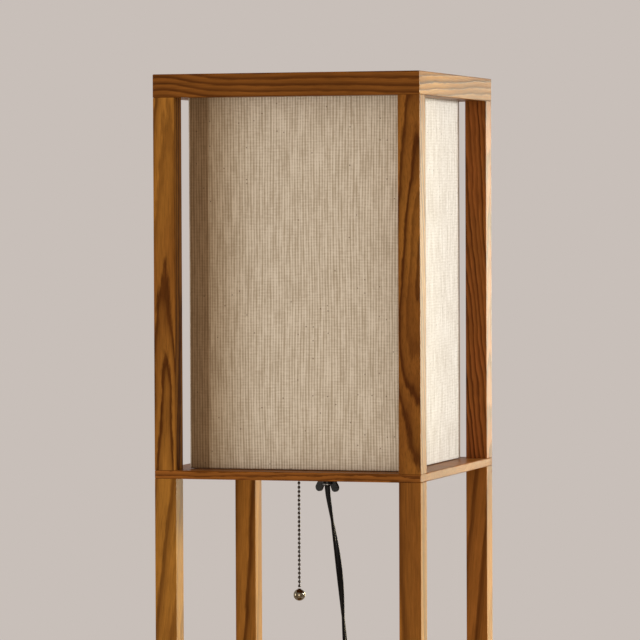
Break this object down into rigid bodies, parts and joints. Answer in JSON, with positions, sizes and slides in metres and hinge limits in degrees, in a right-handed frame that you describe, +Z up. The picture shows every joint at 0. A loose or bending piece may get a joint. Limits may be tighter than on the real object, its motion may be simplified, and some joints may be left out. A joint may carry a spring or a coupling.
{
  "type": "shelf floor lamp",
  "caption": "Square wooden floor lamp: corner posts with open shelves under a linen shade box, a pull chain and wing nut below the lamp board, and a black twin cord.",
  "frame": {"origin": "on the floor, at the centre of the square footprint of the four posts", "axes": "+Z up, -Y out of the front face seen in the picture, +X to the right of that face"},
  "size_m": [0.26, 0.2864, 1.6],
  "materials": {
    "stained_pine": "satin lacquer over a honey-brown stain",
    "dowel_beech": "raw",
    "felt_pad": "felt",
    "zinc_steel": "zinc plated",
    "brass": "satin",
    "linen": "slubby plain weave on a stiff lining",
    "white_enamel": "satin",
    "black_enamel": "gloss",
    "black_pvc": "satin",
    "nickel": "polished",
    "fibre_sleeve": "matt",
    "black_phenolic": "satin",
    "white_nylon": "satin",
    "lamp_housing": "satin",
    "lamp_diffuser": "frosted",
    "chain_steel": "polished",
    "chrome_ball": "polished"
  },
  "bodies": {
    "frame": {"cap_dowels": "dowel_beech", "cap_rail_back": "stained_pine", "cap_rail_front": "stained_pine", "cap_rail_left": "stained_pine", "cap_rail_right": "stained_pine", "centre_contact": "brass", "chain_arm": "nickel", "cord_bushing": "black_pvc", "cord_coil": "black_pvc", "cord_leads": "black_pvc", "cord_run": "black_pvc", "cord_tail": "black_pvc", "cord_ties": "black_pvc", "foot_blocks": "stained_pine", "foot_pads": "felt_pad", "joint_studs": "zinc_steel", "lamp_board": "stained_pine", "lamp_nipple": "zinc_steel", "lamp_washer": "zinc_steel", "lower_post_back_left": "stained_pine", "lower_post_back_right": "stained_pine", "lower_post_front_left": "stained_pine", "lower_post_front_right": "stained_pine", "lower_shelf": "stained_pine", "middle_post_back_left": "stained_pine", "middle_post_back_right": "stained_pine", "middle_post_front_left": "stained_pine", "middle_post_front_right": "stained_pine", "middle_shelf": "stained_pine", "plug_blades": "nickel", "plug_body": "black_pvc", "pulley_pin": "zinc_steel", "pulley_spring": "zinc_steel", "screw_shell": "brass", "shade_post_back_left": "stained_pine", "shade_post_back_right": "stained_pine", "shade_post_front_left": "stained_pine", "shade_post_front_right": "stained_pine", "socket_cap": "nickel", "socket_liner": "fibre_sleeve", "socket_shell": "nickel", "switch_body": "black_phenolic", "terminal_screws": "brass", "thread_inserts": "brass", "upper_post_back_left": "stained_pine", "upper_post_back_right": "stained_pine", "upper_post_front_left": "stained_pine", "upper_post_front_right": "stained_pine", "upper_shelf": "stained_pine"},
    "shade": {"shade_fabric": "linen", "shade_rings": "white_enamel"},
    "bulb": {"bulb_globe": "lamp_diffuser", "bulb_housing": "lamp_housing", "bulb_screw_cap": "nickel"},
    "wing_nut": {"wing_nut": "black_enamel"},
    "chain_top": {"pull_chain_upper": "chain_steel"},
    "chain_link": {"pull_chain_pivot": "chain_steel"},
    "chain_hanging": {"pull_chain_lower": "chain_steel", "pull_ball": "chrome_ball"},
    "switch_pulley": {"switch_pulley": "white_nylon"}
  },
  "joints": [
    {"name": "shade_lift", "type": "slide", "parent": "frame", "child": "shade", "axis": [0, 0, 1], "range_m": [0, 0.375]},
    {"name": "bulb_unscrew", "type": "hinge", "parent": "frame", "child": "bulb", "pos_m": [0, 0, 1.2663], "axis": [0, 0, 1], "continuous": true},
    {"name": "wing_nut_turn", "type": "hinge", "parent": "frame", "child": "wing_nut", "pos_m": [0, 0, 1.21], "axis": [0, 0, 1], "continuous": true},
    {"name": "pull_chain_slide", "type": "slide", "parent": "frame", "child": "chain_top", "axis": [0, 0, -1], "range_m": [0, 0.009], "stiffness_N_per_m": 600, "springref_m": -0.002},
    {"name": "chain_swing_side", "type": "hinge", "parent": "chain_top", "child": "chain_link", "pos_m": [-0.0287, 0, 1.217], "axis": [0, 1, 0], "range_deg": [-10, 45]},
    {"name": "chain_swing_front", "type": "hinge", "parent": "chain_link", "child": "chain_hanging", "pos_m": [-0.0287, 0, 1.217], "axis": [1, 0, 0], "range_deg": [-45, 10]},
    {"name": "switch_pulley_turn", "type": "hinge", "parent": "frame", "child": "switch_pulley", "pos_m": [-0.004, 0, 1.24997], "axis": [0, -1, 0], "range_deg": [-1, 91]}
  ],
  "couplings": [
    {"joint": "switch_pulley_turn", "follows": "pull_chain_slide", "rad_per_m": 174.52}
  ]
}
